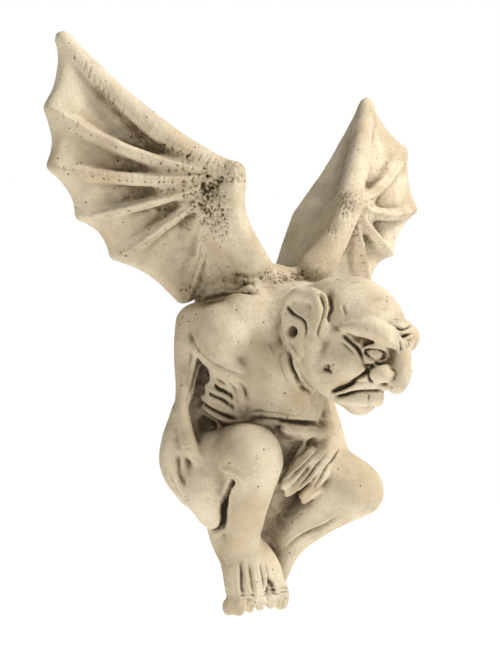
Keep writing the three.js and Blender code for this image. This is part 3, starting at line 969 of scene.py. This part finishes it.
def add_node(tree, kind, settings=(), **links):
    """A node with its settings, and each input linked or given a value. Inputs go by name or _number."""
    node = tree.nodes.new("ShaderNode" + kind)
    for name, value in dict(settings).items():
        setattr(node, name, value)
    for name, value in links.items():
        socket = node.inputs[int(name[1:])] if name[0] == "_" else node.inputs[name.replace("_", " ")]
        if isinstance(value, bpy.types.NodeSocket):
            tree.links.new(value, socket)
        else:
            socket.default_value = value
    return node


def cast_stone(colours):
    """Cast stone, poured in a mould, washed brown and rubbed back.

    It is cream and dull, dark where it can't be rubbed, and darker again with shade painted into its hollows
    and sheltered places.
    """
    material = bpy.data.materials.new("cast_stone_rubbed_wash_and_painted_shade")
    material.use_nodes = True
    tree = material.node_tree
    add = partial(add_node, tree)
    shader = tree.nodes["Principled BSDF"]
    spot = add("TexCoord").outputs["Object"]
    source = {}
    # each noise: the size of its features in millimetres, its detail, roughness and distortion
    for name, (size, detail, roughness, warp) in {
        "patches": (38, 5, 0.55, 0), "clouds": (16, 4, 0.6, 0.6), "grain": (1.6, 2, 0.7, 0),
        "speckle": (2.6, 3, 0.75, 0),
        "smears": (7, 4, 0.65, 0), "clusters": (11, 2, 0.55, 0), "swells": (4.5, 4, 0.6, 0),
    }.items():
        made = add(
            "TexNoise", Vector=spot, Scale=1000 / size, Detail=detail, Roughness=roughness, Distortion=warp,
        )
        source[name] = made.outputs[0]
    # the sky shut out and the depths of the hollows drive the wash and the dirt, and paint shade along with
    # them
    for name in ("shelter", "worn", *HOLLOW_PASSES):
        source[name] = add("Attribute", {"attribute_name": name}).outputs["Fac"]
    cells = add("TexVoronoi", {"feature": "F1"}, Vector=spot, Scale=1000 / 7.0, Randomness=1.0)
    source["cells"] = cells.outputs["Distance"]
    # each mask: what it follows, between which of its values it rises, and from what to what
    mask = {}
    for name, (what, low, high, start, end) in {
        "patches": ("patches", 0.35, 0.7, 0, 1), "clouds": ("clouds", 0.5, 0.75, 0, 0.55),
        "grain": ("grain", 0.3, 0.75, 0, 0.5), "speckle": ("speckle", 0.42, 0.66, 0, 1),
        # sheltered, valleys and folds lay the brown in: a real wash partly, painted shade in the hollows
        # partly
        "sheltered": ("shelter", 0.12, 0.7, 0, 0.7), "valleys": ("hollow_wide", -0.2, 2.0, 0, 0.6),
        "folds": ("hollow_mid", 0.05, 1.2, 0, 0.6), "worn": ("worn", 0.15, 0.9, 0, 0.8),
        # cuts, shut_in and deep_folds lay the dark in: dirt partly, painted shade in the deepest recesses
        # partly
        "smears": ("smears", 0.25, 0.6, 0.55, 1), "cuts": ("hollow_fine", 0.03, 0.5, 0, 0.8),
        "shut_in": ("shelter", 0.6, 1.0, 0, 0.6), "deep_folds": ("hollow_mid", 0.6, 2.4, 0, 0.5),
        "pins": ("cells", 0.07, 0.13, 1, 0), "clusters": ("clusters", 0.5, 0.56, 0, 1),
    }.items():
        made = add(
            "MapRange", {"interpolation_type": "SMOOTHSTEP"},
            Value=source[what], From_Min=low, From_Max=high, To_Min=start, To_Max=end,
        )
        mask[name] = made.outputs[0]
    # the masks are worked into three amounts: brown wash with painted shade, dark dirt with painted shade,
    # and pin holes
    mask["rough"] = add("Math", {"operation": "MULTIPLY"}, _0=mask["worn"], _1=mask["speckle"]).outputs[0]
    # both amounts darken hollows and sheltered places: real wash and dirt, and painted shade as well
    for name, parts in {
        "wash": ("sheltered", "valleys", "folds", "rough"), "dirt": ("cuts", "shut_in", "deep_folds"),
    }.items():
        mask[name] = mask[parts[0]]
        for part in parts[1:]:
            settings = {"operation": "ADD", "use_clamp": True}
            mask[name] = add("Math", settings, _0=mask[name], _1=mask[part]).outputs[0]
    mask["wash"] = add("Math", {"operation": "MULTIPLY"}, _0=mask["wash"], _1=mask["smears"]).outputs[0]
    mask["holes"] = add("Math", {"operation": "MULTIPLY"}, _0=mask["pins"], _1=mask["clusters"]).outputs[0]
    dark_holes = add("Math", {"operation": "MULTIPLY"}, _0=mask["holes"], _1=0.85).outputs[0]
    colour = colours.cream
    for amount, over in (
        (mask["patches"], colours.buff), (mask["clouds"], colours.lilac), (mask["grain"], colours.buff),
        (mask["wash"], colours.brown), (mask["dirt"], colours.dark), (dark_holes, colours.dark),
    ):
        settings = {"data_type": "RGBA", "clamp_factor": True}
        colour = add("Mix", settings, _0=amount, _6=colour, _7=over).outputs[2]
    tree.links.new(colour, shader.inputs["Base Color"])
    shader.inputs["Roughness"].default_value = 0.88
    shader.inputs["Specular IOR Level"].default_value = 0.25
    # the sandy grain and the hammered swells stand up, and the pin holes sink in
    height = add("Math", {"operation": "MULTIPLY"}, _0=source["grain"], _1=0.5).outputs[0]
    for what, share in ((source["swells"], 0.9), (mask["holes"], -1.5)):
        height = add("Math", {"operation": "MULTIPLY_ADD"}, _0=what, _1=share, _2=height).outputs[0]
    bump = add("Bump", Height=height, Distance=0.001, Strength=0.9)
    tree.links.new(bump.outputs[0], shader.inputs["Normal"])
    return material


# ---- operators ----
class GARGOYLE_PG_sizes(bpy.types.PropertyGroup):
    """Sizes of the casting's skin"""

    rough_grain: bpy.props.FloatProperty(
        name="Rough grain", description="Grain in which the rough masses melt together, in millimetres",
        default=2.2, min=1.5, max=5,
    )
    fine_grain: bpy.props.FloatProperty(
        name="Fine grain", description="Grain in which hands, feet and features melt in, in millimetres",
        default=1.5, min=1, max=3,
    )
    last_grain: bpy.props.FloatProperty(
        name="Last grain", description="Grain of the skin that is carved, in millimetres",
        default=1.05, min=0.8, max=2,
    )
    most_triangles: bpy.props.IntProperty(
        name="Most triangles", description="The most triangles the finished casting keeps", default=190000,
        min=20000,
    )
    floor_drop: bpy.props.FloatProperty(
        name="Floor drop", description="How far the floor lies below the casting",
        default=0.2, min=0, unit="LENGTH",
    )


class GARGOYLE_PG_colours(bpy.types.PropertyGroup):
    """Colours of the stone and its wash"""

    cream: bpy.props.FloatVectorProperty(
        name="Cream", description="Stone rubbed back to its own colour", subtype="COLOR", size=4, min=0,
        max=1,
        default=hex_colour("#d2c5aa"),
    )
    buff: bpy.props.FloatVectorProperty(
        name="Buff", description="Patches where the wash was left thin", subtype="COLOR", size=4, min=0,
        max=1,
        default=hex_colour("#b3a284"),
    )
    lilac: bpy.props.FloatVectorProperty(
        name="Lilac", description="Cooler patches in the stone", subtype="COLOR", size=4, min=0, max=1,
        default=hex_colour("#a9978a"),
    )
    # the brown is the wash in the hollows, and painted shade there as well
    brown: bpy.props.FloatVectorProperty(
        name="Brown", description="The wash lying in the hollows", subtype="COLOR", size=4, min=0, max=1,
        default=hex_colour("#66543a"),
    )
    # the dark is dirt in the deepest cuts and air holes, and painted shade in them as well
    dark: bpy.props.FloatVectorProperty(
        name="Dark", description="The deepest cuts and the air holes", subtype="COLOR", size=4, min=0, max=1,
        default=hex_colour("#2f2a19"),
    )


class GARGOYLE_OT_trunk(bpy.types.Operator):
    """Set up the trunk, its shoulders and the slack skin over its ribs"""

    bl_idname = "gargoyle.trunk"
    bl_label = "Trunk"

    def execute(self, context):
        clay("rough_trunk", trunk_masses)
        clay("rough_ribs", rib_folds)
        return {"FINISHED"}


class GARGOYLE_OT_wings(bpy.types.Operator):
    """Set up both wings: webs, arm bones, inner walls and fingers"""

    bl_idname = "gargoyle.wings"
    bl_label = "Wings"

    def execute(self, context):
        clay("rough_wings", wing_masses)
        return {"FINISHED"}


class GARGOYLE_OT_arms(bpy.types.Operator):
    """Set up both arms and their hands"""

    bl_idname = "gargoyle.arms"
    bl_label = "Arms"

    def execute(self, context):
        clay("rough_arms", arm_masses)
        clay("fine_hands", hands)
        return {"FINISHED"}


class GARGOYLE_OT_legs(bpy.types.Operator):
    """Set up both legs and their feet"""

    bl_idname = "gargoyle.legs"
    bl_label = "Legs"

    def execute(self, context):
        clay("rough_legs", leg_masses)
        clay("fine_feet", feet)
        return {"FINISHED"}


class GARGOYLE_OT_head(bpy.types.Operator):
    """Set up the skull, the ears, the features and the eyes"""

    bl_idname = "gargoyle.head"
    bl_label = "Head"

    def execute(self, context):
        clay("rough_skull", skull_masses)
        clay("fine_features", features)
        clay("last_eyes", eyes)
        return {"FINISHED"}


class GARGOYLE_OT_casting(bpy.types.Operator):
    """Melt the masses together and carve them"""

    bl_idname = "gargoyle.casting"
    bl_label = "Casting"

    def execute(self, context):
        sizes = context.scene.gargoyle_sizes
        rough = [o for o in bpy.data.objects if o.name.startswith("rough_")]
        if len(rough) < 5:
            raise RuntimeError("The casting needs the trunk, wings, arms, legs and head first")
        body = melted(rough, "body_clay", sizes.rough_grain)
        work = Work(body)
        work.soften(CLAY_PASSES)
        fine = [o for o in bpy.data.objects if o.name.startswith("fine_")]
        body = melted([body, *fine], "body_clay", sizes.fine_grain)
        work = Work(body)
        work.soften(FEATURE_PASSES)
        carve_face(work)
        work.look_again()
        last = [o for o in bpy.data.objects if o.name.startswith("last_")]
        casting = melted([body, *last], "gargoyle_casting", sizes.last_grain)
        work = Work(casting)
        work.soften(SKIN_PASSES)
        carve_after_eyes(work)
        carve_body(work)
        carve_hands(work)
        carve_legs(work)
        work.look_again()
        for wing in (RIGHT_WING, LEFT_WING):
            carve_wing(work, wing)
        carve_toes(work, *RIGHT_TOES)
        work.look_again()
        pit(work)
        uneven = lumps(work.co, 24, SEED) * 0.5 + lumps(work.co, 9, SEED + 1) * 0.25
        work.co += work.normal * uneven[:, None]
        keep_to_wall(work)
        depths = hollows(work)
        fine_places = np.abs(depths["hollow_fine"]) > FINE_HOLLOW
        on_face = np.linalg.norm(work.co - np.array(point(HEAD_CENTRE)), axis=1) < FACE_REACH
        worn = worn_places(work.co)
        free = casting.vertex_groups.new(name="free_to_slim")
        free.add([int(i) for i in np.flatnonzero(~(on_face & fine_places))], 1, "REPLACE")
        slim = casting.modifiers.new("slim", "DECIMATE")
        slim.vertex_group = free.name
        slim.vertex_group_factor = 1
        slim.ratio = min(1, sizes.most_triangles / (2 * len(casting.data.polygons)))
        finished(casting, "gargoyle_casting")
        mesh = casting.data
        nearest = [work.tree.find(v.co)[1] for v in mesh.vertices]
        for name, depth in depths.items():
            store(mesh, name, depth[nearest])
        store(mesh, "worn", worn[nearest])
        # the sky shut out from each vertex, kept for the painted shade in the colour
        store(mesh, "shelter", shelter(mesh))
        mesh.materials.clear()
        mesh.materials.append(cast_stone(context.scene.gargoyle_colours))
        mesh.transform(Matrix.Scale(METRES, 4))
        keep_inside(mesh)
        for face in mesh.polygons:
            face.use_smooth = True
        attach(casting, "root")
        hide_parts(NODE)
        return {"FINISHED"}


def keep_to_wall(work):
    """Nothing stands behind the wall's plane."""
    work.co[:, 1] = np.minimum(work.co[:, 1], 0)
    work.look_again()


def keep_inside(mesh):
    """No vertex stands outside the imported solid's own box."""
    for vert in mesh.vertices:
        vert.co = [min(max(v, low), high) for v, low, high in zip(vert.co, LOW, HIGH)]


class GARGOYLE_OT_stage(bpy.types.Operator):
    """Set up the floor, lights and camera"""

    bl_idname = "gargoyle.stage"
    bl_label = "Stage"

    def execute(self, context):
        scene = context.scene
        scene.view_settings.view_transform = "Standard"
        camera = bpy.data.objects.new("camera", bpy.data.cameras.new("camera"))
        scene.collection.objects.link(camera)
        camera.data.lens = LENS
        azimuth = math.radians(CAMERA_AZIMUTH)
        elevation = math.radians(CAMERA_ELEVATION)
        level = math.cos(elevation)
        back = Vector((math.sin(azimuth) * level, -math.cos(azimuth) * level, math.sin(elevation)))
        camera.location = CAMERA_TARGET + back * CAMERA_DISTANCE
        camera.rotation_euler = back.to_track_quat("Z", "Y").to_euler()
        scene.camera = camera
        bm = bmesh.new()
        bmesh.ops.create_grid(bm, x_segments=1, y_segments=1, size=4)
        mesh = bpy.data.meshes.new("floor")
        bm.to_mesh(mesh)
        bm.free()
        mesh.transform(Matrix.Translation((0, 0, LOW.z - scene.gargoyle_sizes.floor_drop)))
        paint = bpy.data.materials.new("pale_matt_floor")
        paint.use_nodes = True
        shader = paint.node_tree.nodes["Principled BSDF"]
        shader.inputs["Base Color"].default_value = (0.9, 0.9, 0.9, 1)
        shader.inputs["Roughness"].default_value = 1
        shader.inputs["Emission Color"].default_value = WHITE
        shader.inputs["Emission Strength"].default_value = 0.75
        mesh.materials.append(paint)
        floor = bpy.data.objects.new("floor", mesh)
        scene.collection.objects.link(floor)
        world = bpy.data.worlds.new("studio")
        scene.world = world
        world.use_nodes = True
        tree = world.node_tree
        soft = tree.nodes["Background"]
        soft.inputs["Color"].default_value = WHITE
        soft.inputs["Strength"].default_value = 0.3
        white = add_node(tree, "Background", Color=WHITE, Strength=1.0)
        seen = add_node(tree, "LightPath").outputs["Is Camera Ray"]
        both = add_node(tree, "MixShader", _0=seen, _1=soft.outputs[0], _2=white.outputs[0])
        tree.links.new(both.outputs[0], tree.nodes["World Output"].inputs["Surface"])
        for name, (place, size, power) in LAMPS.items():
            lamp = bpy.data.lights.new(name, "AREA")
            lamp.energy = power
            lamp.size = size
            light = bpy.data.objects.new(name, lamp)
            light.location = place
            aim = Vector(place) - LAMP_TARGET
            light.rotation_euler = aim.to_track_quat("Z", "Y").to_euler()
            scene.collection.objects.link(light)
        return {"FINISHED"}


class GARGOYLE_PT_panel(bpy.types.Panel):
    bl_idname = "GARGOYLE_PT_panel"
    bl_label = "Gargoyle"
    bl_space_type = "VIEW_3D"
    bl_region_type = "UI"
    bl_category = "Gargoyle"

    def draw(self, context):
        for group in (context.scene.gargoyle_sizes, context.scene.gargoyle_colours):
            for name in group.bl_rna.properties.keys():
                if name not in ("rna_type", "name"):
                    self.layout.prop(group, name)
        for step in STEPS:
            self.layout.operator(step.bl_idname)


STEPS = (
    GARGOYLE_OT_trunk, GARGOYLE_OT_wings, GARGOYLE_OT_arms, GARGOYLE_OT_legs, GARGOYLE_OT_head,
    GARGOYLE_OT_casting, GARGOYLE_OT_stage,
)
CLASSES = (GARGOYLE_PG_sizes, GARGOYLE_PG_colours, *STEPS, GARGOYLE_PT_panel)


def register():
    for cls in CLASSES:
        bpy.utils.register_class(cls)
    bpy.types.Scene.gargoyle_sizes = bpy.props.PointerProperty(type=GARGOYLE_PG_sizes)
    bpy.types.Scene.gargoyle_colours = bpy.props.PointerProperty(type=GARGOYLE_PG_colours)


def unregister():
    del bpy.types.Scene.gargoyle_colours
    del bpy.types.Scene.gargoyle_sizes
    for cls in reversed(CLASSES):
        bpy.utils.unregister_class(cls)


def main():
    register()
    bpy.ops.gargoyle.trunk()
    bpy.ops.gargoyle.wings()
    bpy.ops.gargoyle.arms()
    bpy.ops.gargoyle.legs()
    bpy.ops.gargoyle.head()
    bpy.ops.gargoyle.casting()
    bpy.ops.gargoyle.stage()


if __name__ == "__main__":
    main()
